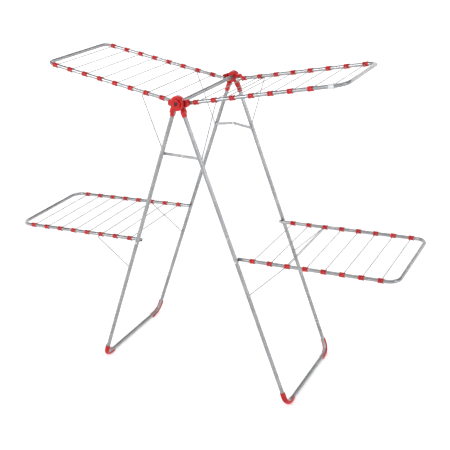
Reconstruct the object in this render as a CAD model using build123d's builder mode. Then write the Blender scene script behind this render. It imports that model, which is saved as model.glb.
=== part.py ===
"""Four-wing clothes drying rack: an A-frame of bent tube that folds flat.

Two U-shaped leg frames turn on one cross bar, which runs through a moulded hub at
each end. Each leg frame carries two line-strung wings: an upper one, pinned in the
lugs of its hub halves, and a lower one, riveted to its uprights. A wire bail, with
its ends in the uprights, props up each wing. Folding spreader links keep the legs
apart.

Axes: +X across the wings, -Y towards the front hub, +Z up. The origin lies on the
floor, below the middle of the cross bar. Sizes are in millimetres and degrees.
"""

from build123d import *
import math
import os
from dataclasses import dataclass

# ---------------------------------------------------------------- driving dimensions
LEAN = 19.75  # each leg frame leans this far from the vertical
HUB_Z = 1218.0  # height of the cross bar's axis
LEG_OFFSET = 8.3  # from the cross bar's axis to each leg's centre line
LEG_HALF_WIDTH = 228.0  # uprights' centre lines, each side of the middle
LEG_R = 8.0
LEG_WALL = 1.0
LEG_BEND_R = 38.0
LEG_TOP_T = 34.0  # the tube's top end, measured down the leg from the hub

WING_HALF_WIDTH = 202.0
WING_R = 7.0
WING_WALL = 1.0
CRANK_AT = 17.0  # where a tapering side tube turns in, out from the hinge
LINE_COUNT = 8
LINE_R = 1.4

CLIP_R = 8.5
CLIP_LENGTH = 16.0
CLIP_NOSE_R = 3.0
CLIP_NOSE_REACH = 11.5  # from the tube's axis to the end of the nose
CLIP_CHAMFER = 0.7

SOLE = 3.0  # shoe's thickness, all round the tube
SHOE_UP = 58.0
SHOE_ALONG = 62.0
SHOE_LIP = 4.0  # how far the shoe wraps past the tube's middle
SOLE_HALF_WIDTH = 7.0

UPPER_HINGE_X = 34.0
UPPER_HINGE_Z = 1215.0
LOWER_HINGE_Z = 612.0
UPPER_BAIL_Z = 1009.0
LOWER_BAIL_Z = 472.0

WIRE_R = 1.5
WIRE_BEND_R = 2.5
BAIL_ARM_Y = 212.5
BAIL_TIP_Y = 238.0

SLIDE_FIT = 0.05  # radial gap of parts that are pushed together
RUN_FIT = 0.08  # radial gap of a pin or wire that turns in its hole
FACE_GAP = 0.3  # gap between parts that only face each other

SOCKET_R = 10.4
SOCKET_TOP_T = 31.0
FRONT_SOCKET_END_T = 56.0
REAR_SOCKET_END_T = 68.0
SOCKET_INNER_N = 0.4  # the legs fold flat, so nothing reaches nearer to the middle plane
WEB_TOP_T = 12.0
WEB_END_T = 44.0
BARREL_R = 22.0
FACE_R = {-1: 28.5, 1: 23.5}  # round face over both barrels, by end
SHELL_WALL = 3.5
SHELL_REACH = 90.0
FACE_ROUNDING = 3.0
LEFT_LAYER = (229.1, 240.0)  # |y| of the left half's barrel
RIGHT_LAYER = (217.6, 228.8)  # |y| of the right half's barrel
FACE_LAYER = (234.0, 240.0)  # |y| of the round face over both barrels
SHELL_LAYER = (221.0, 240.0)  # |y| of the front face's rim, over the right half's barrel
SHELL_ANGLES = (42.0, 150.0)  # degrees round the cross bar, up from +X

LUG_START_Y = 209.4
LEFT_LUG_OUTLINE = ((-23, -12), (-23, 11), (-33, 11), (-40, 7), (-40, -8), (-36, -12))
RIGHT_LUG_OUTLINE = ((20, -13), (20, 14), (34, 14), (41, 9), (41, -8), (37, -13))

BOSS_R = 17.0
BOSS_LAYER = (240.1, 246.1)  # |y| of the round boss
BOSS_FLOOR_Y = 242.0
BOSS_RECESS_R = 9.0
BOSS_ROUNDING = 1.6
BAR_END_Y = 238.0
PLUG_LENGTH = 22.0
SCREW_R = 2.9
SCREW_SPAN = (220.0, 242.1)  # |y| of the shank
SCREW_HEAD_R = 5.6
SCREW_HEAD_H = 2.3
CROSS_LENGTH = 6.4
CROSS_WIDTH = 1.3
CROSS_DEPTH = 1.4

PIN_R = 2.5
RIVET_HEAD_R = 4.5
RIVET_HEAD_H = 1.6
UPPER_PIN_BITE = 8.0  # how deep an upper wing's pin sits in the outer lug

LINK_HALF_WIDTH = 5.5
LEFT_LINK_LAYER = (215.2, 216.7)  # |y| of the left links
RIGHT_LINK_LAYER = (217.0, 218.5)  # |y| of the right links
LINK_RISE = {-1: 0.0, 1: 12.0}  # how far a pair's knee stands above straight, by end
EYELET_R = 5.5
EYELET_HOLE_R = 2.4
EYELET_TUBE_R = 3.0
EYELET_H = 0.9

# ------------------------------------------------------------------- worked-out values
SIN = math.sin(math.radians(LEAN))
COS = math.cos(math.radians(LEAN))
FOOT_Z = LEG_R + SOLE
LEG_T = (HUB_Z + LEG_OFFSET * SIN - FOOT_Z) / COS  # hub to bottom bar, down the leg
FRONT, REAR = -1, 1  # which end of the cross bar, along Y
LEFT, RIGHT = -1, 1  # which side of the rack, along X


def leg_x(z):
    """Distance of a leg's centre line from the middle plane at height z."""
    down = (HUB_Z + LEG_OFFSET * SIN - z) / COS
    return LEG_OFFSET * COS + down * SIN


def leg_point(side, end, t):
    """Point on an upright's centre line, t down the leg from the hub."""
    x = side * (LEG_OFFSET * COS + t * SIN)
    return Vector(x, end * LEG_HALF_WIDTH, HUB_Z + LEG_OFFSET * SIN - t * COS)


@dataclass(frozen=True)
class Wing:
    """One wing: where it is hinged, how it tilts and how its lines are spaced."""

    name: str
    side: int  # LEFT or RIGHT
    hinge_x: float
    hinge_z: float
    tilt: float  # degrees above the horizontal
    first_line: float  # from the hinge to the first line
    pitch: float  # between lines
    length: float  # from the hinge to the end bar's centre line
    corner_r: float
    stub: float  # tube that reaches past the hinge
    rear_taper: float  # how far the rear tube closes in by the end bar
    bail_at: float  # from the hinge to the bail's cross wire
    bail_z: float

    @property
    def plane(self):
        """Wing's plane: local X runs outwards from the hinge, local Y is world Y."""
        tilt = math.radians(self.tilt)
        outward = (self.side * math.cos(tilt), 0, math.sin(tilt))
        normal = (-math.sin(tilt), 0, self.side * math.cos(tilt))
        return Plane(origin=(self.hinge_x * self.side, 0, self.hinge_z), x_dir=outward, z_dir=normal)

    def half_width(self, end, s):
        """Side tube's distance from the middle, s out from the hinge."""
        if end == FRONT:
            return WING_HALF_WIDTH
        return WING_HALF_WIDTH - (s - CRANK_AT) * math.tan(math.radians(self.turn_in(end)))

    def turn_in(self, end):
        """Angle at which a side tube closes in, in degrees."""
        if end == FRONT:
            return 0.0
        return math.degrees(math.atan2(self.rear_taper, self.length - CRANK_AT))

    def line_places(self):
        """Distances of the lines from the hinge."""
        return [self.first_line + i * self.pitch for i in range(LINE_COUNT)]


UPPER_LEFT = Wing("upper_left", LEFT, UPPER_HINGE_X, UPPER_HINGE_Z, 9.9, 48.0, 70.7, 583.0,
                  31.0, 5.0, 0.0, 132.0, UPPER_BAIL_Z)
UPPER_RIGHT = Wing("upper_right", RIGHT, UPPER_HINGE_X, UPPER_HINGE_Z, 11.6, 29.5, 76.2, 614.0,
                   42.0, 5.0, 46.0, 116.0, UPPER_BAIL_Z)
LOWER_LEFT = Wing("lower_left", LEFT, leg_x(LOWER_HINGE_Z), LOWER_HINGE_Z, -3.3, 51.5, 72.6, 628.24,
                  42.0, 5.0, 0.0, 210.0, LOWER_BAIL_Z)
LOWER_RIGHT = Wing("lower_right", RIGHT, leg_x(LOWER_HINGE_Z), LOWER_HINGE_Z, 2.9, 58.5, 72.6, 628.0,
                   42.0, 5.0, 0.0, 190.0, LOWER_BAIL_Z)
WINGS = (UPPER_LEFT, UPPER_RIGHT, LOWER_LEFT, LOWER_RIGHT)


def end_name(end):
    """Name of an end of the rack."""
    return "front" if end == FRONT else "rear"


def side_name(side):
    """Name of a side of the rack."""
    return "left" if side == LEFT else "right"


def save(part, name):
    """Label a finished piece and write it."""
    part.label = name
    export_step(part, f"parts/{name}.step")


def across(x, y, z):
    """Location whose local Z runs along world Y."""
    return Location((x, y, z), (90, 0, 0))


def slab_plane(end, layer):
    """Plane of world X and Z, about the cross bar, from which a layer is extruded."""
    start = max(end * layer[0], end * layer[1])
    return Plane(origin=(0, start, HUB_Z), x_dir=(1, 0, 0), z_dir=(0, -1, 0))


def thickness(layer):
    """Thickness of a layer."""
    return layer[1] - layer[0]


# --------------------------------------------------------------------------- leg frames
def leg_plane(side):
    """Plane of a leg frame: local X is world Y, local Y runs up the leg."""
    foot = (side * leg_x(FOOT_Z), 0, FOOT_Z)
    return Plane(origin=foot, x_dir=(0, 1, 0), z_dir=(COS, 0, side * SIN))


def make_leg_frame(side):
    """U-shaped tube: two uprights and the bar on the floor."""
    plane = leg_plane(side)
    top = LEG_T - LEG_TOP_T
    with BuildPart() as frame:
        with BuildLine(plane) as path:
            FilletPolyline(
                (-LEG_HALF_WIDTH, top),
                (-LEG_HALF_WIDTH, 0),
                (LEG_HALF_WIDTH, 0),
                (LEG_HALF_WIDTH, top),
                radius=LEG_BEND_R,
            )
        with BuildSketch(Plane(origin=path.line @ 0, z_dir=path.line % 0)):
            Circle(LEG_R)
            Circle(LEG_R - LEG_WALL, mode=Mode.SUBTRACT)
        sweep(path=path.line)
        drillings = (
            (LOWER_HINGE_Z, PIN_R + SLIDE_FIT),
            (UPPER_BAIL_Z, WIRE_R + RUN_FIT),
            (LOWER_BAIL_Z, WIRE_R + RUN_FIT),
        )
        for z, radius in drillings:
            for end in (FRONT, REAR):
                with Locations(across(side * leg_x(z), end * LEG_HALF_WIDTH, z)):
                    Cylinder(radius, 3 * LEG_R, mode=Mode.SUBTRACT)
    save(frame.part, f"{side_name(side)}_leg_frame")


def make_foot(side, end):
    """Snap-on shoe: an open channel round the outside of a bend, with a flat sole."""
    plane = leg_plane(side)
    start = (end * LEG_HALF_WIDTH, SHOE_UP)
    corner = (end * LEG_HALF_WIDTH, 0)
    finish = (end * (LEG_HALF_WIDTH - SHOE_ALONG), 0)
    open_from = SHOE_LIP + 2 * LEG_R
    foot_x = side * leg_x(FOOT_Z)
    with BuildPart() as foot:
        with BuildLine(plane) as path:
            FilletPolyline(start, corner, finish, radius=LEG_BEND_R)
        section_plane = Plane(origin=path.line @ 0, x_dir=(0, -end, 0), z_dir=path.line % 0)
        with BuildSketch(section_plane):
            Circle(LEG_R + SOLE)
            with Locations((open_from, 0)):
                Rectangle(4 * LEG_R, 4 * LEG_R, mode=Mode.SUBTRACT)
        sweep(path=path.line)
        sole_length = SHOE_ALONG - LEG_BEND_R
        sole_y = end * (LEG_HALF_WIDTH - SHOE_ALONG + sole_length / 2)
        with Locations((foot_x, sole_y, 0)):
            Box(
                2 * SOLE_HALF_WIDTH,
                sole_length,
                FOOT_Z / 2,
                align=(Align.CENTER, Align.CENTER, Align.MIN),
            )
        with BuildLine(plane) as bore_path:
            FilletPolyline(start, corner, finish, radius=LEG_BEND_R)
        with BuildSketch(section_plane):
            Circle(LEG_R + SLIDE_FIT)
        sweep(path=bore_path.line, mode=Mode.SUBTRACT)
    save(foot.part, f"{side_name(side)}_foot_{end_name(end)}")


# --------------------------------------------------------------------------------- hubs
def wedge(angles):
    """Corners of a wide wedge from the cross bar's axis, between two angles in degrees."""
    steps = 4
    reach = SHELL_REACH
    start, stop = (math.radians(angle) for angle in angles)
    turns = [start + (stop - start) * i / steps for i in range(steps + 1)]
    return [(0, 0)] + [(reach * math.cos(turn), reach * math.sin(turn)) for turn in turns]


def leg_rectangle(side, near_n, far_n, top_t, end_t):
    """Centre, size and turn of a rectangle laid along a leg, about the cross bar's axis."""
    n = (near_n + far_n) / 2
    t = (top_t + end_t) / 2
    centre = (side * (n * COS + t * SIN), n * SIN - t * COS, 0)
    return Location(centre, (0, 0, side * LEAN)), far_n - near_n, end_t - top_t


def leg_section_plane(side, end, t):
    """Plane across an upright, t down the leg; its local Y runs towards +X."""
    return Plane(origin=leg_point(side, end, t), x_dir=(0, 1, 0), z_dir=(side * SIN, 0, -COS))


def make_hub_half(side, end):
    """Moulded hub half: barrel on the cross bar, leg socket, and lug for the wing."""
    layer = LEFT_LAYER if side == LEFT else RIGHT_LAYER
    socket_end = FRONT_SOCKET_END_T if end == FRONT else REAR_SOCKET_END_T
    lug_outline = LEFT_LUG_OUTLINE if side == LEFT else RIGHT_LUG_OUTLINE
    lug = (LUG_START_Y, FACE_LAYER[0] if side == LEFT else layer[1])
    with BuildPart() as hub:
        with BuildSketch(slab_plane(end, layer)):
            Circle(BARREL_R)
            spot, width, length = leg_rectangle(
                side, SOCKET_INNER_N, LEG_OFFSET + SOCKET_R, WEB_TOP_T, WEB_END_T
            )
            with Locations(spot):
                Rectangle(width, length)
        extrude(amount=thickness(layer))
        with BuildSketch(leg_section_plane(side, end, SOCKET_TOP_T)):
            Circle(SOCKET_R)
            reach = 4 * SOCKET_R
            with Locations((0, side * (SOCKET_INNER_N - LEG_OFFSET + reach / 2))):
                Rectangle(reach, reach, mode=Mode.INTERSECT)
        extrude(amount=socket_end - SOCKET_TOP_T)
        with BuildSketch(slab_plane(end, lug)):
            with BuildLine():
                Polyline(*lug_outline, close=True)
            make_face()
        extrude(amount=thickness(lug))
        if side == LEFT and end == FRONT:
            with BuildSketch(slab_plane(end, SHELL_LAYER)):
                Circle(FACE_R[end])
                Circle(FACE_R[end] - SHELL_WALL, mode=Mode.SUBTRACT)
                with BuildLine():
                    Polyline(*wedge(SHELL_ANGLES), close=True)
                make_face(mode=Mode.INTERSECT)
            extrude(amount=thickness(SHELL_LAYER))
        if side == LEFT:
            with BuildSketch(slab_plane(end, FACE_LAYER)):
                Circle(FACE_R[end])
            extrude(amount=thickness(FACE_LAYER))
            outer = hub.faces().sort_by(Axis.Y)[0 if end == FRONT else -1]
            fillet(outer.edges().filter_by(GeomType.CIRCLE), FACE_ROUNDING)
        with BuildSketch(leg_section_plane(side, end, LEG_TOP_T - FACE_GAP)):
            Circle(LEG_R + SLIDE_FIT)
        extrude(amount=socket_end, mode=Mode.SUBTRACT)
        with Locations(across(0, end * LEG_HALF_WIDTH, HUB_Z)):
            Cylinder(LEG_R + RUN_FIT, 4 * LEG_R, mode=Mode.SUBTRACT)
        with Locations(across(side * UPPER_HINGE_X, end * WING_HALF_WIDTH, UPPER_HINGE_Z)):
            Cylinder(PIN_R + SLIDE_FIT, 5 * WING_R, mode=Mode.SUBTRACT)
    save(hub.part, f"{side_name(side)}_hub_{end_name(end)}")


def make_hub_cap(end):
    """Round boss on the hub's face, with a deep recess for the screw's head."""
    recess = (BOSS_FLOOR_Y, BOSS_LAYER[1])
    with BuildPart() as cap:
        with BuildSketch(slab_plane(end, BOSS_LAYER)):
            Circle(BOSS_R)
        extrude(amount=thickness(BOSS_LAYER))
        outer = cap.faces().sort_by(Axis.Y)[0 if end == FRONT else -1]
        fillet(outer.edges(), BOSS_ROUNDING)
        with BuildSketch(slab_plane(end, recess)):
            Circle(BOSS_RECESS_R)
        extrude(amount=thickness(recess), mode=Mode.SUBTRACT)
        with Locations(across(0, end * BOSS_FLOOR_Y, HUB_Z)):
            Cylinder(SCREW_R + SLIDE_FIT, 2 * thickness(BOSS_LAYER), mode=Mode.SUBTRACT)
    save(cap.part, f"hub_cap_{end_name(end)}")


def make_cross_bar():
    """Straight tube between the hubs, the shaft that the hub halves turn on."""
    with BuildPart() as bar:
        with Locations(across(0, 0, HUB_Z)):
            Cylinder(LEG_R, 2 * BAR_END_Y)
            Cylinder(LEG_R - LEG_WALL, 2 * BAR_END_Y, mode=Mode.SUBTRACT)
    save(bar.part, "cross_bar")


def make_bar_plugs():
    """Threaded plugs in the cross bar's ends."""
    with BuildPart() as plugs:
        for end in (FRONT, REAR):
            with Locations(across(0, end * (BAR_END_Y - PLUG_LENGTH / 2), HUB_Z)):
                Cylinder(LEG_R - LEG_WALL - SLIDE_FIT, PLUG_LENGTH)
                Cylinder(SCREW_R + SLIDE_FIT, PLUG_LENGTH, mode=Mode.SUBTRACT)
    save(plugs.part, "bar_plugs")


def make_hub_screws():
    """Screws that hold the caps on the cross bar, with a cross recess."""
    head = (SCREW_SPAN[1], SCREW_SPAN[1] + SCREW_HEAD_H)
    with BuildPart() as screws:
        for end in (FRONT, REAR):
            with BuildSketch(slab_plane(end, SCREW_SPAN)):
                Circle(SCREW_R)
            extrude(amount=thickness(SCREW_SPAN))
            with BuildSketch(slab_plane(end, head)):
                Circle(SCREW_HEAD_R)
            extrude(amount=SCREW_HEAD_H)
            with BuildSketch(slab_plane(end, (head[1] - CROSS_DEPTH, head[1]))):
                Rectangle(CROSS_LENGTH, CROSS_WIDTH)
                Rectangle(CROSS_WIDTH, CROSS_LENGTH)
            extrude(amount=CROSS_DEPTH, mode=Mode.SUBTRACT)
    save(screws.part, "hub_screws")


# ------------------------------------------------------------------------------- wings
def make_wing_frame(wing):
    """U-shaped tube that carries a wing's clips and lines."""
    plane = wing.plane
    corners = [
        (-wing.stub, -WING_HALF_WIDTH),
        (wing.length, -WING_HALF_WIDTH),
        (wing.length, WING_HALF_WIDTH - wing.rear_taper),
        (-wing.stub, WING_HALF_WIDTH),
    ]
    if wing.rear_taper:
        corners.insert(3, (CRANK_AT, WING_HALF_WIDTH))
    drill_r = PIN_R + RUN_FIT
    with BuildPart() as frame:
        with BuildLine(plane) as path:
            FilletPolyline(*corners, radius=wing.corner_r)
        with BuildSketch(Plane(origin=path.line @ 0, z_dir=path.line % 0)):
            Circle(WING_R)
            Circle(WING_R - WING_WALL, mode=Mode.SUBTRACT)
        sweep(path=path.line)
        for end in (FRONT, REAR):
            with Locations(across(wing.side * wing.hinge_x, end * WING_HALF_WIDTH, wing.hinge_z)):
                Cylinder(drill_r, 3 * WING_R, mode=Mode.SUBTRACT)
    save(frame.part, f"{wing.name}_frame")


def make_clip(turn_in, end):
    """One clip at the origin, with its tube along X and turned in by an angle."""
    bend = math.radians(turn_in)
    tube = Plane(origin=(0, 0, 0), z_dir=(math.cos(bend), -math.sin(bend), 0))
    with BuildPart(mode=Mode.PRIVATE) as clip:
        with BuildSketch(tube.offset(-CLIP_LENGTH / 2)):
            Circle(CLIP_R)
        extrude(amount=CLIP_LENGTH)
        chamfer(clip.edges().filter_by(GeomType.CIRCLE), CLIP_CHAMFER)
        with BuildSketch(Plane.XZ):
            Circle(CLIP_NOSE_R)
        extrude(amount=end * CLIP_NOSE_REACH)
        with BuildSketch(tube.offset(-CLIP_LENGTH)):
            Circle(WING_R + SLIDE_FIT)
        extrude(amount=2 * CLIP_LENGTH, mode=Mode.SUBTRACT)
    return clip.part


def make_clips(wing, end, places, name):
    """Rings round a side tube, each with a nose that holds the end of a line."""
    clip = make_clip(wing.turn_in(end), end)
    with BuildPart() as clips:
        for s in places:
            add(wing.plane.location * Pos(s, end * wing.half_width(end, s), 0) * clip)
    save(clips.part, name)


def make_lines(wing):
    """Straight lines from the front clips to the rear ones."""
    with BuildPart() as lines:
        for s in wing.line_places():
            front = -wing.half_width(FRONT, s) + CLIP_NOSE_REACH
            rear = wing.half_width(REAR, s) - CLIP_NOSE_REACH
            middle = wing.plane.location * Location((s, (front + rear) / 2, 0), (90, 0, 0))
            with Locations(middle):
                Cylinder(LINE_R, rear - front)
    save(lines.part, f"{wing.name}_lines")


def make_upper_pins(wing):
    """Headed pins that hinge an upper wing on the lugs of its hub halves."""
    span = (WING_HALF_WIDTH - WING_R - FACE_GAP, LUG_START_Y + UPPER_PIN_BITE)
    with BuildPart() as pins:
        for end in (FRONT, REAR):
            middle = end * (span[0] + span[1]) / 2
            with Locations(across(wing.side * wing.hinge_x, middle, wing.hinge_z)):
                Cylinder(PIN_R, thickness(span))
            head = end * (span[0] - RIVET_HEAD_H / 2)
            with Locations(across(wing.side * wing.hinge_x, head, wing.hinge_z)):
                Cylinder(RIVET_HEAD_R, RIVET_HEAD_H)
    save(pins.part, f"{wing.name}_hinge_pins")


def make_lower_rivets(wing):
    """Rivets that hinge a lower wing on the uprights."""
    low = WING_HALF_WIDTH - WING_R - FACE_GAP
    high = LEG_HALF_WIDTH + LEG_R + FACE_GAP
    with BuildPart() as rivets:
        for end in (FRONT, REAR):
            with Locations(across(wing.side * wing.hinge_x, end * (low + high) / 2, wing.hinge_z)):
                Cylinder(PIN_R, high - low)
            for head in (low - RIVET_HEAD_H / 2, high + RIVET_HEAD_H / 2):
                with Locations(across(wing.side * wing.hinge_x, end * head, wing.hinge_z)):
                    Cylinder(RIVET_HEAD_R, RIVET_HEAD_H)
    save(rivets.part, f"{wing.name}_rivets")


def make_lower_bushes(wing):
    """Spacers on the rivets, between the wing's tubes and the uprights."""
    low = WING_HALF_WIDTH + WING_R + FACE_GAP
    high = LEG_HALF_WIDTH - LEG_R - FACE_GAP
    with BuildPart() as bushes:
        for end in (FRONT, REAR):
            with Locations(across(wing.side * wing.hinge_x, end * (low + high) / 2, wing.hinge_z)):
                Cylinder(2 * PIN_R, high - low)
                Cylinder(PIN_R + SLIDE_FIT, high - low, mode=Mode.SUBTRACT)
    save(bushes.part, f"{wing.name}_bushes")


def make_bail(wing):
    """Wire prop: its ends turn in the uprights and its cross wire is under the wing."""
    pivot_x = wing.side * leg_x(wing.bail_z)
    under = WING_R + WIRE_R + FACE_GAP
    cross = wing.plane.location.position + wing.plane.x_dir * wing.bail_at
    cross = cross - wing.plane.z_dir * (wing.side * under)
    with BuildPart() as bail:
        with BuildLine() as path:
            FilletPolyline(
                (pivot_x, -BAIL_TIP_Y, wing.bail_z),
                (pivot_x, -BAIL_ARM_Y, wing.bail_z),
                (cross.X, -BAIL_ARM_Y, cross.Z),
                (cross.X, BAIL_ARM_Y, cross.Z),
                (pivot_x, BAIL_ARM_Y, wing.bail_z),
                (pivot_x, BAIL_TIP_Y, wing.bail_z),
                radius=WIRE_BEND_R,
            )
        with BuildSketch(Plane(origin=path.line @ 0, z_dir=path.line % 0)):
            Circle(WIRE_R)
        sweep(path=path.line)
    save(bail.part, f"{wing.name}_bail")


# --------------------------------------------------------------------------- spreaders
def make_spreader_link(side, end):
    """Flat link from an upright to the spreader's knee."""
    layer = LEFT_LINK_LAYER if side == LEFT else RIGHT_LINK_LAYER
    rise = LINK_RISE[end]
    half_span = leg_x(UPPER_BAIL_Z)
    length = math.hypot(half_span, rise)
    slope = math.degrees(math.atan2(rise, half_span))
    pivot_z = UPPER_BAIL_Z - HUB_Z
    middle = (side * half_span / 2, pivot_z + rise / 2, 0)
    with BuildPart() as link:
        with BuildSketch(slab_plane(end, layer)):
            with Locations(Location(middle, (0, 0, -side * slope))):
                SlotCenterToCenter(length, 2 * LINK_HALF_WIDTH)
            with Locations((side * half_span, pivot_z)):
                Circle(WIRE_R + RUN_FIT, mode=Mode.SUBTRACT)
            with Locations((0, pivot_z + rise)):
                Circle(EYELET_TUBE_R, mode=Mode.SUBTRACT)
        extrude(amount=thickness(layer))
    save(link.part, f"spreader_{side_name(side)}_{end_name(end)}")


def make_eyelet(end):
    """Hollow rivet at a spreader's knee, held in the left link."""
    knee_z = UPPER_BAIL_Z + LINK_RISE[end] - HUB_Z
    flange = (LEFT_LINK_LAYER[0] - EYELET_H, LEFT_LINK_LAYER[0])
    with BuildPart() as eyelet:
        for layer, radius in ((flange, EYELET_R), (LEFT_LINK_LAYER, EYELET_TUBE_R - SLIDE_FIT)):
            with BuildSketch(slab_plane(end, layer)):
                with Locations((0, knee_z)):
                    Circle(radius)
                    Circle(EYELET_HOLE_R, mode=Mode.SUBTRACT)
            extrude(amount=thickness(layer))
    save(eyelet.part, f"spreader_eyelet_{end_name(end)}")


# ------------------------------------------------------------------------------- build
os.makedirs("parts", exist_ok=True)
make_cross_bar()
make_bar_plugs()
make_hub_screws()
for end in (FRONT, REAR):
    make_hub_cap(end)
    make_eyelet(end)
for side in (LEFT, RIGHT):
    make_leg_frame(side)
    for end in (FRONT, REAR):
        make_foot(side, end)
        make_hub_half(side, end)
        make_spreader_link(side, end)
for wing in WINGS:
    make_wing_frame(wing)
    places = wing.line_places()
    make_clips(wing, REAR, places, f"{wing.name}_clips_rear")
    if wing is UPPER_RIGHT:
        make_clips(wing, FRONT, places[-1:], f"{wing.name}_spare_clip")
        places = places[:-1]
    make_clips(wing, FRONT, places, f"{wing.name}_clips_front")
    make_lines(wing)
    make_bail(wing)
for wing in (UPPER_LEFT, UPPER_RIGHT):
    make_upper_pins(wing)
for wing in (LOWER_LEFT, LOWER_RIGHT):
    make_lower_rivets(wing)
    make_lower_bushes(wing)
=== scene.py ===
"""Looks of a folding clothes drying rack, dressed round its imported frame.

Each sub-assembly is a class: it takes its places from the frame, models what the frame
leaves plain, and puts a finish on every piece. Lengths are in metres.
"""

import logging
import math
from dataclasses import dataclass, field
from enum import Enum
from typing import Iterable, Sequence, Union

import bmesh
import bpy
from mathutils import Matrix, Vector


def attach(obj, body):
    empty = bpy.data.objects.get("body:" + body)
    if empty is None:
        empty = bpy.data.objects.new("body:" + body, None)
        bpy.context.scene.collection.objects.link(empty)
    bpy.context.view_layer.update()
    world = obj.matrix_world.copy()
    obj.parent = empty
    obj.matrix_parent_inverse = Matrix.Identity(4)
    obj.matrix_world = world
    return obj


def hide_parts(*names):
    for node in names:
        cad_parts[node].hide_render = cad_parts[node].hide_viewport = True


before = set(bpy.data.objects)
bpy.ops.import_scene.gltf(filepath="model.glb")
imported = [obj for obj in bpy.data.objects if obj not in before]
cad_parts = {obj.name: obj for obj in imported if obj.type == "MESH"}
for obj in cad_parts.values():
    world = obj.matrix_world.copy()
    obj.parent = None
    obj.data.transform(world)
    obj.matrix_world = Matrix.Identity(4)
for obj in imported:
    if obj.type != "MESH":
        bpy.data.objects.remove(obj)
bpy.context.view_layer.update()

WELD_GAP = 0.000002  # points nearer than this are one point
STRAND_GAP = 0.01  # points further apart than this along X are on different lines
HUB_ROUNDING = 0.0009
SHOE_ROUNDING = 0.0006
RIVET_ROUNDING = 0.0004
SCREW_ROUNDING = 0.0003
LINK_ROUNDING = 0.0002
ROUNDING_SEGMENTS = 2
ROUNDED_ANGLE = 40.0  # in degrees: frame nodes' edges sharper than this are rounded
CRISP_ANGLE = 50.0  # in degrees: new pieces' edges sharper than this are shaded sharp

log = logging.getLogger("drying_rack")

Colour = tuple[float, float, float]
Number = Union[float, int]


class Side(Enum):
    """Which side of the rack a piece is on, along X."""

    LEFT = -1
    RIGHT = 1

    @property
    def word(self) -> str:
        """Side's name in node names."""
        return self.name.lower()


class End(Enum):
    """Which end of the cross bar a piece is at, along Y."""

    FRONT = -1
    REAR = 1

    @property
    def word(self) -> str:
        """End's name in node names."""
        return self.name.lower()


class Level(Enum):
    """Whether a wing is one of the upper or the lower pair."""

    UPPER = "upper"
    LOWER = "lower"


# --------------------------------------------------------------------------- shader maths
class Signal:
    """A shader socket that carries numbers, with arithmetic that adds Math nodes."""

    def __init__(self, sheet: "Recipe", socket: bpy.types.NodeSocket) -> None:
        """Wraps a socket.

        Args:
            sheet: Recipe whose node tree the socket is in.
            socket: Output socket to wrap.
        """
        self.sheet = sheet
        self.socket = socket

    def _maths(self, operation: str, *values: Union["Signal", Number]) -> "Signal":
        """Adds one Math node.

        Args:
            operation: Math node's operation.
            values: Its inputs, in order.

        Returns:
            The node's result.
        """
        wires = {i: value for i, value in enumerate(values)}
        return self.sheet.node("ShaderNodeMath", {"operation": operation}, wires).out(0)

    def __add__(self, other: Union["Signal", Number]) -> "Signal":
        """Sum."""
        return self._maths("ADD", self, other)

    def __radd__(self, other: Number) -> "Signal":
        """Sum, with a number on the left."""
        return self._maths("ADD", other, self)

    def __sub__(self, other: Union["Signal", Number]) -> "Signal":
        """Difference."""
        return self._maths("SUBTRACT", self, other)

    def __rsub__(self, other: Number) -> "Signal":
        """Difference, with a number on the left."""
        return self._maths("SUBTRACT", other, self)

    def __mul__(self, other: Union["Signal", Number]) -> "Signal":
        """Product."""
        return self._maths("MULTIPLY", self, other)

    def __rmul__(self, other: Number) -> "Signal":
        """Product, with a number on the left."""
        return self._maths("MULTIPLY", other, self)

    def __pow__(self, other: Number) -> "Signal":
        """Power."""
        return self._maths("POWER", self, other)

    def __rpow__(self, other: Number) -> "Signal":
        """Power of a number."""
        return self._maths("POWER", other, self)

    def ramp(self, low: float, high: float) -> "Signal":
        """Rises smoothly from 0 to 1.

        Args:
            low: Value at which the result is 0.
            high: Value at which the result is 1.

        Returns:
            The smoothed value.
        """
        settings = {"interpolation_type": "SMOOTHSTEP"}
        wires = {"Value": self, "From Min": low, "From Max": high}
        return self.sheet.node("ShaderNodeMapRange", settings, wires).out("Result")


class Block:
    """A node in a recipe, whose outputs are read as signals."""

    def __init__(self, sheet: "Recipe", made: bpy.types.Node) -> None:
        """Wraps a node.

        Args:
            sheet: Recipe that the node is in.
            made: The node.
        """
        self.sheet = sheet
        self.made = made

    def out(self, name: Union[str, int]) -> Signal:
        """Output of that name or number, as a signal."""
        return Signal(self.sheet, self.made.outputs[name])


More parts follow.
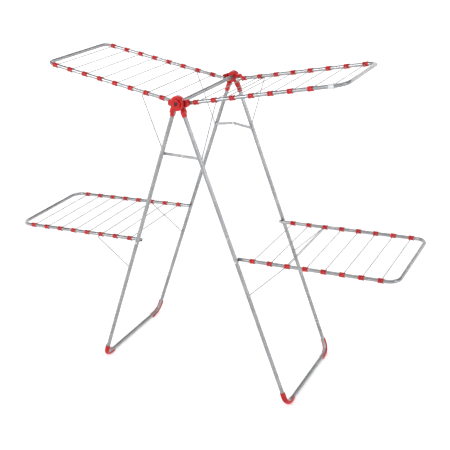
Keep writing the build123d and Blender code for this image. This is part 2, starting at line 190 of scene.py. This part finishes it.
class Recipe:
    """A material's node tree while it is being written."""

    def __init__(self, name: str) -> None:
        """Starts a material.

        Args:
            name: Material's name.
        """
        self.material = bpy.data.materials.new(name)
        self.material.use_nodes = True
        self.tree = self.material.node_tree
        self.tree.nodes.clear()
        self.place = self.node("ShaderNodeTexCoord").out("Object")

    def node(self, kind: str, settings: dict | None = None, wires: dict | None = None) -> Block:
        """Adds a node.

        Args:
            kind: Node type.
            settings: Node's own properties, set before its inputs.
            wires: Input names or numbers, each with a value or a signal.

        Returns:
            The node.
        """
        made = self.tree.nodes.new(kind)
        for key, value in (settings or {}).items():
            setattr(made, key, value)
        for key, value in (wires or {}).items():
            if isinstance(value, Signal):
                self.tree.links.new(value.socket, made.inputs[key])
            else:
                made.inputs[key].default_value = value
        return Block(self, made)

    def grain(self, scale: float, detail: float = 3.0, at: Signal | None = None) -> Signal:
        """Noise between 0 and 1.

        Args:
            scale: Cells in a metre.
            detail: Octaves.
            at: Coordinates, the object's own if None.

        Returns:
            The noise.
        """
        wires = {"Vector": at or self.place, "Scale": scale, "Detail": detail}
        return self.node("ShaderNodeTexNoise", None, wires).out("Fac")

    def stretched(self, factors: tuple[float, float, float]) -> Signal:
        """Object coordinates, scaled differently along each axis."""
        wires = {"Vector": self.place, "Scale": factors}
        return self.node("ShaderNodeMapping", None, wires).out("Vector")

    def along(self, axis: str) -> Signal:
        """Object coordinate along X, Y or Z."""
        return self.node("ShaderNodeSeparateXYZ", None, {0: self.place}).out(axis)

    def blend(self, share: Signal, low: Colour, high: Colour) -> Signal:
        """Mixes two colours.

        Args:
            share: How much of the second colour there is.
            low: First colour.
            high: Second colour.

        Returns:
            The mixed colour.
        """
        wires = {0: share, 6: (*low, 1.0), 7: (*high, 1.0)}
        return self.node("ShaderNodeMix", {"data_type": "RGBA"}, wires).out(2)

    def tint(self, share: Signal, base: Signal, high: Colour) -> Signal:
        """Mixes a colour signal with a plain colour.

        Args:
            share: How much of the plain colour there is.
            base: Colour signal.
            high: Plain colour.

        Returns:
            The mixed colour.
        """
        wires = {0: share, 6: base, 7: (*high, 1.0)}
        return self.node("ShaderNodeMix", {"data_type": "RGBA"}, wires).out(2)

    def bump(self, height: Signal, distance: float) -> Signal:
        """Turns a height into a normal.

        Args:
            height: Height, 0 to 1.
            distance: Depth of the relief in metres.

        Returns:
            The normal.
        """
        wires = {"Strength": 1.0, "Distance": distance, "Height": height}
        return self.node("ShaderNodeBump", None, wires).out("Normal")

    def finish(self, wires: dict) -> bpy.types.Material:
        """Adds the surface shader and the output.

        Args:
            wires: Shader's inputs.

        Returns:
            The finished material.
        """
        shader = self.node("ShaderNodeBsdfPrincipled", None, wires)
        self.node("ShaderNodeOutputMaterial", None, {"Surface": shader.out("BSDF")})
        return self.material


# ------------------------------------------------------------------------------- finishes
@dataclass(frozen=True)
class TubeSteel:
    """Grey lacquered steel tube: cloudy, lightly orange-peeled, scuffed by use."""

    name: str = "tube_steel"
    light: Colour = (0.34, 0.345, 0.355)
    deep: Colour = (0.24, 0.245, 0.255)
    scuff: Colour = (0.62, 0.62, 0.63)
    dust: Colour = (0.30, 0.29, 0.27)
    dust_height: float = 0.22
    dust_share: float = 0.25
    scuff_share: float = 0.35
    cloud_scale: float = 14.0
    peel_scale: float = 420.0
    peel_depth: float = 0.00006
    scuff_scale: float = 60.0
    scuff_stretch: tuple[float, float, float] = (1.0, 1.0, 7.0)
    dust_scale: float = 90.0
    metallic: float = 0.7
    roughness: float = 0.22

    def mix(self) -> bpy.types.Material:
        """Writes the material.

        Returns:
            The material.
        """
        recipe = Recipe(self.name)
        cloud = recipe.grain(self.cloud_scale, 4.0).ramp(0.25, 0.75)
        peel = recipe.grain(self.peel_scale, 2.0)
        scuffed = recipe.grain(self.scuff_scale, 5.0, recipe.stretched(self.scuff_stretch))
        scuffed = scuffed.ramp(0.62, 0.72)
        low = 1.0 - recipe.along("Z").ramp(0.0, self.dust_height)
        lacquer = recipe.blend(cloud, self.deep, self.light)
        worn = recipe.tint(scuffed * self.scuff_share, lacquer, self.scuff)
        dusty = low * recipe.grain(self.dust_scale) * self.dust_share
        relief = peel * 0.6 + scuffed * 0.4
        return recipe.finish(
            {
                "Base Color": recipe.tint(dusty, worn, self.dust),
                "Metallic": self.metallic,
                "Roughness": self.roughness + cloud * 0.06 + scuffed * 0.12 + low * 0.08,
                "Normal": recipe.bump(relief, self.peel_depth),
                "Coat Weight": 0.25,
                "Coat Roughness": 0.12,
            }
        )


@dataclass(frozen=True)
class MouldedPlastic:
    """Glossy injection-moulded plastic with flow clouds and a faint skin texture."""

    name: str
    light: Colour
    deep: Colour
    rub: Colour
    roughness: float = 0.24
    flow_scale: float = 38.0
    skin_scale: float = 900.0
    skin_depth: float = 0.00004
    rub_scale: float = 160.0
    rub_share: float = 0.18

    def mix(self) -> bpy.types.Material:
        """Writes the material.

        Returns:
            The material.
        """
        recipe = Recipe(self.name)
        flow = recipe.grain(self.flow_scale, 3.0).ramp(0.3, 0.7)
        skin = recipe.grain(self.skin_scale, 2.0)
        rubbed = recipe.grain(self.rub_scale, 6.0).ramp(0.60, 0.75)
        moulded = recipe.blend(flow, self.deep, self.light)
        colour = recipe.tint(rubbed * self.rub_share, moulded, self.rub)
        return recipe.finish(
            {
                "Base Color": colour,
                "Roughness": self.roughness + flow * 0.05 + rubbed * 0.16,
                "Normal": recipe.bump(skin + rubbed * 0.3, self.skin_depth),
                "Specular IOR Level": 0.3,
                "Coat Weight": 0.1,
                "Coat Roughness": 0.08,
            }
        )


@dataclass(frozen=True)
class CoatedLine:
    """Plastic-coated line with the twist of its core showing through."""

    name: str = "coated_line"
    light: Colour = (0.22, 0.22, 0.23)
    deep: Colour = (0.15, 0.15, 0.16)
    soil: Colour = (0.40, 0.38, 0.35)
    soil_scale: float = 30.0
    soil_share: float = 0.3
    twist: float = 1900.0
    twist_depth: float = 0.00005

    def mix(self) -> bpy.types.Material:
        """Writes the material.

        Returns:
            The material.
        """
        recipe = Recipe(self.name)
        lay = recipe.along("Y") * self.twist + recipe.along("Z") * (2.0 * self.twist)
        ridge = recipe.node("ShaderNodeMath", {"operation": "SINE"}, {0: lay}).out(0) * 0.5 + 0.5
        soiled = recipe.grain(self.soil_scale, 5.0).ramp(0.4, 0.8)
        twisted = recipe.blend(ridge, self.deep, self.light)
        colour = recipe.tint(soiled * self.soil_share, twisted, self.soil)
        return recipe.finish(
            {
                "Base Color": colour,
                "Roughness": 0.42 + soiled * 0.2,
                "Normal": recipe.bump(ridge, self.twist_depth),
            }
        )


@dataclass(frozen=True)
class BrightMetal:
    """Bare plated metal: fine drawn grain, dull spots, a little tarnish."""

    name: str
    light: Colour
    deep: Colour
    roughness: float
    stretch: tuple[float, float, float] = (1.0, 1.0, 1.0)
    metallic: float = 0.9
    drawn_scale: float = 520.0
    drawn_depth: float = 0.00002
    tarnish_scale: float = 45.0

    def mix(self) -> bpy.types.Material:
        """Writes the material.

        Returns:
            The material.
        """
        recipe = Recipe(self.name)
        drawn = recipe.grain(self.drawn_scale, 4.0, recipe.stretched(self.stretch))
        tarnish = recipe.grain(self.tarnish_scale, 5.0).ramp(0.45, 0.8)
        colour = recipe.blend(tarnish, self.light, self.deep)
        return recipe.finish(
            {
                "Base Color": recipe.tint(drawn * 0.25, colour, self.deep),
                "Metallic": self.metallic,
                "Roughness": self.roughness + tarnish * 0.15 + drawn * 0.08,
                "Normal": recipe.bump(drawn, self.drawn_depth),
            }
        )


@dataclass(frozen=True)
class FloorPaper:
    """Pale matt paper that the rack stands on; its emission is painted light that lightens the rack's shadows
    near it and brightens the floor far away.
    """

    name: str = "floor_paper"
    colour: Colour = (0.93, 0.93, 0.93)
    fibre: Colour = (0.90, 0.90, 0.90)
    fibre_scale: float = 5.0
    near_glow: Colour = (0.35, 0.35, 0.35)
    far_glow: Colour = (0.80, 0.80, 0.80)
    near: float = 2.0
    far: float = 6.0

    def mix(self) -> bpy.types.Material:
        """Writes the material.

        Returns:
            The material.
        """
        recipe = Recipe(self.name)
        pale = recipe.blend(recipe.grain(self.fibre_scale, 4.0) * 0.2, self.colour, self.fibre)
        distance = (recipe.along("X") ** 2.0 + recipe.along("Y") ** 2.0) ** 0.5
        # Painted light: the emission fills the shadows near the rack and whitens the far floor.
        glow = recipe.blend(distance.ramp(self.near, self.far), self.near_glow, self.far_glow)
        return recipe.finish(
            {
                "Base Color": pale,
                "Roughness": 0.9,
                "Emission Color": glow,
                "Emission Strength": 1.0,
            }
        )


@dataclass
class Finishes:
    """Every finish on the rack, mixed once and shared."""

    tube: bpy.types.Material = field(default_factory=lambda: TubeSteel().mix())
    red: bpy.types.Material = field(
        default_factory=lambda: MouldedPlastic(
            "red_plastic", (0.50, 0.003, 0.005), (0.34, 0.002, 0.003), (0.62, 0.03, 0.03), 0.20
        ).mix()
    )
    grey: bpy.types.Material = field(
        default_factory=lambda: MouldedPlastic(
            "grey_plastic", (0.60, 0.61, 0.62), (0.50, 0.51, 0.52), (0.72, 0.72, 0.72), 0.35
        ).mix()
    )
    dark: bpy.types.Material = field(
        default_factory=lambda: MouldedPlastic(
            "dark_plastic", (0.035, 0.035, 0.038), (0.02, 0.02, 0.022), (0.10, 0.10, 0.10), 0.45
        ).mix()
    )
    line: bpy.types.Material = field(default_factory=lambda: CoatedLine().mix())
    wire: bpy.types.Material = field(
        default_factory=lambda: BrightMetal(
            "bail_wire", (0.22, 0.22, 0.23), (0.15, 0.15, 0.16), 0.40, (1.0, 0.2, 1.0), 0.35
        ).mix()
    )
    strip: bpy.types.Material = field(
        default_factory=lambda: BrightMetal(
            "spreader_strip", (0.40, 0.40, 0.41), (0.28, 0.28, 0.29), 0.34, (0.15, 1.0, 1.0)
        ).mix()
    )
    # Near-black screw colour: painted shade for the dark recess in each hub cap.
    screw_recess_shade: bpy.types.Material = field(
        default_factory=lambda: BrightMetal(
            "blackened_screw", (0.07, 0.06, 0.06), (0.03, 0.03, 0.03), 0.30
        ).mix()
    )
    fastener: bpy.types.Material = field(
        default_factory=lambda: BrightMetal(
            "plated_fastener", (0.66, 0.66, 0.65), (0.42, 0.41, 0.38), 0.24
        ).mix()
    )


def dress(names: Iterable[str], material: bpy.types.Material) -> None:
    """Puts a finish on frame nodes.

    Args:
        names: Nodes' names.
        material: The finish.
    """
    for name in names:
        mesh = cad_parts[name].data
        mesh.materials.clear()
        mesh.materials.append(material)
        log.info("%s: %s", name, material.name)


def soften(names: Iterable[str], width: float) -> None:
    """Rounds the sharp edges of frame nodes a little, as a mould or a tumbler leaves them.

    Args:
        names: Nodes' names.
        width: Width of the rounding in metres.
    """
    for name in names:
        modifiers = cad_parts[name].modifiers
        weld = modifiers.new("weld", "WELD")
        weld.merge_threshold = WELD_GAP
        bevel = modifiers.new("rounding", "BEVEL")
        bevel.width = width
        bevel.segments = ROUNDING_SEGMENTS
        bevel.limit_method = "ANGLE"
        bevel.angle_limit = math.radians(ROUNDED_ANGLE)
        bevel.harden_normals = True


# --------------------------------------------------------------------------- new pieces
@dataclass(frozen=True)
class Strand:
    """A drying line's place: its axis in X and Z and its two ends along Y."""

    x: float
    z: float
    front: float
    rear: float

    def tip(self, end: End) -> Vector:
        """Point at the line's front or rear end."""
        return Vector((self.x, self.front if end is End.FRONT else self.rear, self.z))


def strands(node: str) -> list[Strand]:
    """Finds the lines of a wing in its frame node, inner line to outer line along +X.

    Args:
        node: Name of the node that holds the wing's lines.

    Returns:
        The lines' places.
    """
    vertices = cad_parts[node].data.vertices
    points = sorted((vertex.co.copy() for vertex in vertices), key=lambda point: point.x)
    groups = [[points[0]]]
    for point in points[1:]:
        if point.x - groups[-1][-1].x > STRAND_GAP:
            groups.append([])
        groups[-1].append(point)
    found = []
    for group in groups:
        lows = [min(point[axis] for point in group) for axis in range(3)]
        highs = [max(point[axis] for point in group) for axis in range(3)]
        middle = [(low + high) / 2 for low, high in zip(lows, highs)]
        found.append(Strand(middle[0], middle[2], lows[1], highs[1]))
    return found


def turn_profile(shape: bmesh.types.BMesh, profile: Sequence[tuple[float, float]], place: Matrix,
                 steps: int, closed: bool) -> None:
    """Adds a body of revolution about the local X axis.

    Args:
        shape: Mesh to add it to.
        profile: Distances along the axis and out from it.
        place: Local frame of the axis.
        steps: Segments round the axis.
        closed: Whether the profile's last point joins its first.
    """
    rim = [shape.verts.new(place @ Vector((along, 0.0, out))) for along, out in profile]
    pairs = list(zip(rim, rim[1:])) + ([(rim[-1], rim[0])] if closed else [])
    edges = [shape.edges.new(pair) for pair in pairs]
    axis = place.to_3x3() @ Vector((1.0, 0.0, 0.0))
    bmesh.ops.spin(shape, geom=rim + edges, cent=place.translation, axis=axis,
                   angle=2.0 * math.pi, steps=steps, use_merge=True)


def frame_of(origin: Vector, along: Vector) -> Matrix:
    """Local frame whose X runs along a direction.

    Args:
        origin: Its origin.
        along: Direction of its X axis.

    Returns:
        The frame.
    """
    return Matrix.Translation(origin) @ along.to_track_quat("X", "Z").to_matrix().to_4x4()


def make_piece(name: str, shape: bmesh.types.BMesh, material: bpy.types.Material, body: str) -> bpy.types.Object:
    """Turns a finished mesh into a piece that rides on a body.

    Args:
        name: Piece's name.
        shape: Mesh, which is used up.
        material: Its finish.
        body: Body that it rides on.

    Returns:
        The piece.
    """
    bmesh.ops.remove_doubles(shape, verts=shape.verts, dist=WELD_GAP)
    bmesh.ops.recalc_face_normals(shape, faces=shape.faces)
    mesh = bpy.data.meshes.new(name)
    shape.to_mesh(mesh)
    shape.free()
    mesh.polygons.foreach_set("use_smooth", [True] * len(mesh.polygons))
    mesh.set_sharp_from_angle(angle=math.radians(CRISP_ANGLE))
    mesh.materials.append(material)
    piece = bpy.data.objects.new(name, mesh)
    bpy.context.scene.collection.objects.link(piece)
    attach(piece, body)
    log.info("%s: %d faces", name, len(mesh.polygons))
    return piece


@dataclass(frozen=True)
class ClipShape:
    """Snap-on clip: a sleeve with a rolled lip at each end, and a nose for the line."""

    bore_r: float = 0.00706
    waist_r: float = 0.0093
    lip_r: float = 0.0099
    half_length: float = 0.010
    lip_length: float = 0.0024
    nose_root_r: float = 0.0041
    nose_r: float = 0.0029
    nose_reach: float = 0.0115
    grip_r: float = 0.0017
    steps: int = 32

    def sleeve_profile(self) -> list[tuple[float, float]]:
        """Draws half of the sleeve's wall, out to its lip, and mirrors it about the middle.

        Returns:
            Distances along the tube and out from its axis.
        """
        end, lip = self.half_length, self.lip_length
        half = [
            (end - lip * 1.25, self.waist_r),
            (end - lip, self.waist_r + (self.lip_r - self.waist_r) * 0.6),
            (end - lip * 0.75, self.lip_r),
            (end - lip * 0.3, self.lip_r),
            (end - lip * 0.08, self.lip_r - 0.0003),
            (end, self.lip_r - 0.0009),
            (end, self.bore_r + 0.0002),
            (end - 0.0002, self.bore_r),
        ]
        return half + [(-along, out) for along, out in reversed(half)]

    def nose_profile(self) -> list[tuple[float, float]]:
        """Draws the nose's outline from its root in the sleeve to its rounded tip.

        Returns:
            Distances in from the tube's axis and out from the nose's own axis.
        """
        reach = self.nose_reach
        return [
            (self.bore_r + 0.0003, self.nose_root_r + 0.0006),
            (self.waist_r, self.nose_root_r),
            (self.waist_r + 0.0005, self.nose_r + 0.0004),
            (self.waist_r + 0.0012, self.nose_r),
            (reach - 0.0008, self.nose_r - 0.0001),
            (reach - 0.0002, self.nose_r - 0.0005),
            (reach, self.nose_r - 0.0011),
            (reach + 0.0002, self.grip_r),
            (reach - 0.0002, 0.0),
        ]

    def add(self, shape: bmesh.types.BMesh, centre: Vector, tube: Vector, inward: Vector) -> None:
        """Adds one clip.

        Args:
            shape: Mesh to add it to.
            centre: Point on the tube's axis.
            tube: Direction of the tube.
            inward: Direction from the tube to the line.
        """
        turn_profile(shape, self.sleeve_profile(), frame_of(centre, tube), self.steps, True)
        turn_profile(shape, self.nose_profile(), frame_of(centre, inward), self.steps // 2, False)


# --------------------------------------------------------------------------- sub-assemblies
@dataclass
class HubPair:
    """Cross bar, caps and screws between the leg frames."""

    finishes: Finishes

    def build(self) -> None:
        """Dresses the hub body's pieces."""
        dress(["cross_bar"], self.finishes.tube)
        dress(["bar_plugs"], self.finishes.dark)
        # The screws' near-black colour is painted shade for the recess they sit in.
        dress(["hub_screws"], self.finishes.screw_recess_shade)
        dress([f"hub_cap_{end.word}" for end in End], self.finishes.red)
        soften(["hub_screws"], SCREW_ROUNDING)


@dataclass
class LegFrame:
    """One leg frame with its shoes and hub halves."""

    side: Side
    finishes: Finishes

    def build(self) -> None:
        """Dresses the leg body's pieces."""
        side = self.side.word
        dress([f"{side}_leg_frame"], self.finishes.tube)
        moulded = [f"{side}_{part}_{end.word}" for part in ("foot", "hub") for end in End]
        dress(moulded, self.finishes.red)
        rivets = [f"upper_{side}_hinge_pins", f"lower_{side}_rivets"]
        dress(rivets, self.finishes.fastener)
        dress([f"lower_{side}_bushes"], self.finishes.dark)
        soften([f"{side}_hub_{end.word}" for end in End], HUB_ROUNDING)
        soften([f"{side}_foot_{end.word}" for end in End], SHOE_ROUNDING)
        soften(rivets, RIVET_ROUNDING)


@dataclass
class Wing:
    """One line-strung wing and the bail that props it."""

    level: Level
    side: Side
    finishes: Finishes
    clip: ClipShape = ClipShape()

    @property
    def name(self) -> str:
        """Wing's name, which starts its nodes' names."""
        return f"{self.level.value}_{self.side.word}"

    def build(self) -> None:
        """Dresses the wing's pieces and its bail, and models its clips."""
        dress([f"{self.name}_frame"], self.finishes.tube)
        dress([f"{self.name}_lines"], self.finishes.line)
        dress([f"{self.name}_bail"], self.finishes.wire)
        places = strands(f"{self.name}_lines")
        places.sort(key=lambda strand: abs(strand.x))
        spare = f"{self.name}_spare_clip"
        for end in End:
            fitted = places
            if end is End.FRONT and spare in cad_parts:
                fitted = places[:-1]
                self.add_clips(spare, places, places[-1:], end, self.finishes.grey)
            clips = f"{self.name}_clips_{end.word}"
            self.add_clips(clips, places, fitted, end, self.finishes.red)

    def add_clips(self, node: str, places: Sequence[Strand], fitted: Sequence[Strand], end: End,
                  material: bpy.types.Material) -> None:
        """Models clips along one side tube, in place of a frame node.

        Args:
            node: Frame node that the clips stand for.
            places: All of the wing's lines.
            fitted: The lines that these clips hold.
            end: Which end of the lines the clips are at.
            material: Clips' finish.
        """
        dress([node], material)
        outward = Vector((0.0, end.value * self.clip.nose_reach, 0.0))
        tube = (places[-1].tip(end) - places[0].tip(end)).normalized()
        shape = bmesh.new()
        for strand in fitted:
            self.clip.add(shape, strand.tip(end) + outward, tube, -outward.normalized())
        piece = make_piece(f"{node}_moulded", shape, material, f"{self.name}_wing")
        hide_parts(node)


@dataclass
class Spreader:
    """Two folding links and their eyelet, at one end of the rack."""

    end: End
    finishes: Finishes

    def build(self) -> None:
        """Dresses the links and the eyelet."""
        links = [f"spreader_{side.word}_{self.end.word}" for side in Side]
        dress(links, self.finishes.strip)
        dress([f"spreader_eyelet_{self.end.word}"], self.finishes.fastener)
        soften(links, LINK_ROUNDING)


# --------------------------------------------------------------------------------- studio
@dataclass
class Lamp:
    """A soft box: where it hangs, what it faces, its size and its strength."""

    name: str
    place: tuple[float, float, float]
    aim: tuple[float, float, float]
    size: tuple[float, float]
    power: float

    def hang(self) -> None:
        """Adds the light."""
        data = bpy.data.lights.new(self.name, "AREA")
        data.shape = "RECTANGLE"
        data.size, data.size_y = self.size
        data.energy = self.power
        lamp = bpy.data.objects.new(self.name, data)
        lamp.location = self.place
        facing = Vector(self.aim) - Vector(self.place)
        lamp.rotation_euler = facing.to_track_quat("-Z", "Y").to_euler()
        bpy.context.scene.collection.objects.link(lamp)


@dataclass
class Studio:
    """Floor, lights and camera."""

    place: tuple[float, float, float] = (1.5013, -2.7395, 1.9963)
    yaw: float = 27.71
    pitch: float = -23.54
    roll: float = -1.51
    lens: float = 64.95
    sensor: float = 36.0
    clip: tuple[float, float] = (0.05, 200.0)
    sweep: tuple[tuple[float, float], ...] = (
        (0.0, 0.0), (8.0, 0.0), (20.0, 0.0), (23.0, 0.5), (25.0, 2.0), (26.0, 5.0), (26.5, 14.0),
    )
    sweep_steps: int = 48
    ambient: Colour = (0.95, 0.97, 1.0)
    ambient_strength: float = 0.12
    lamps: tuple[Lamp, ...] = (
        Lamp("key_box", (-2.4, -3.4, 3.0), (0.0, 0.0, 0.8), (0.8, 1.6), 70.0),
        Lamp("fill_box", (4.0, -1.2, 2.4), (0.0, 0.0, 0.8), (0.7, 1.8), 26.0),
        Lamp("top_box", (0.0, 0.6, 5.0), (0.0, 0.0, 0.6), (4.0, 4.0), 95.0),
    )

    def lay_floor(self) -> None:
        """Adds the pale floor, which curves up into a wall far from the rack."""
        shape = bmesh.new()
        rim = [shape.verts.new((out, 0.0, up)) for out, up in self.sweep]
        edges = [shape.edges.new(pair) for pair in zip(rim, rim[1:])]
        bmesh.ops.spin(shape, geom=rim + edges, cent=(0.0, 0.0, 0.0), axis=(0.0, 0.0, 1.0),
                       angle=2.0 * math.pi, steps=self.sweep_steps, use_merge=True)
        bmesh.ops.remove_doubles(shape, verts=shape.verts, dist=WELD_GAP)
        bmesh.ops.recalc_face_normals(shape, faces=shape.faces)
        mesh = bpy.data.meshes.new("floor")
        shape.to_mesh(mesh)
        shape.free()
        mesh.materials.append(FloorPaper().mix())
        floor = bpy.data.objects.new("floor", mesh)
        bpy.context.scene.collection.objects.link(floor)

    def light(self) -> None:
        """Adds the soft boxes and the even light of the room."""
        for lamp in self.lamps:
            lamp.hang()
        room = bpy.data.worlds.new("studio_room")
        room.use_nodes = True
        glow = room.node_tree.nodes["Background"]
        glow.inputs["Color"].default_value = (*self.ambient, 1.0)
        glow.inputs["Strength"].default_value = self.ambient_strength
        bpy.context.scene.world = room
        bpy.context.scene.view_settings.view_transform = "Standard"

    def set_camera(self) -> None:
        """Adds the camera."""
        data = bpy.data.cameras.new("camera")
        data.lens = self.lens
        data.sensor_width = self.sensor
        data.clip_start, data.clip_end = self.clip
        camera = bpy.data.objects.new("camera", data)
        yaw, pitch, roll = (math.radians(angle) for angle in (self.yaw, self.pitch, self.roll))
        forward = math.cos(pitch)
        ahead = Vector((-math.sin(yaw) * forward, math.cos(yaw) * forward, math.sin(pitch)))
        level = Vector((math.cos(yaw), math.sin(yaw), 0.0))
        upright = level.cross(ahead)
        right = level * math.cos(roll) + upright * math.sin(roll)
        up = upright * math.cos(roll) - level * math.sin(roll)
        turn = Matrix((right, up, -ahead)).transposed()
        camera.matrix_world = Matrix.Translation(self.place) @ turn.to_4x4()
        bpy.context.scene.collection.objects.link(camera)
        bpy.context.scene.camera = camera

    def build(self) -> None:
        """Sets the whole studio."""
        self.lay_floor()
        self.light()
        self.set_camera()


def main() -> None:
    """Builds the rack's looks in order."""
    logging.basicConfig(level=logging.INFO)
    finishes = Finishes()
    HubPair(finishes).build()
    for side in Side:
        LegFrame(side, finishes).build()
    for level in Level:
        for side in Side:
            Wing(level, side, finishes).build()
    for end in End:
        Spreader(end, finishes).build()
    Studio().build()


if __name__ == "__main__":
    main()
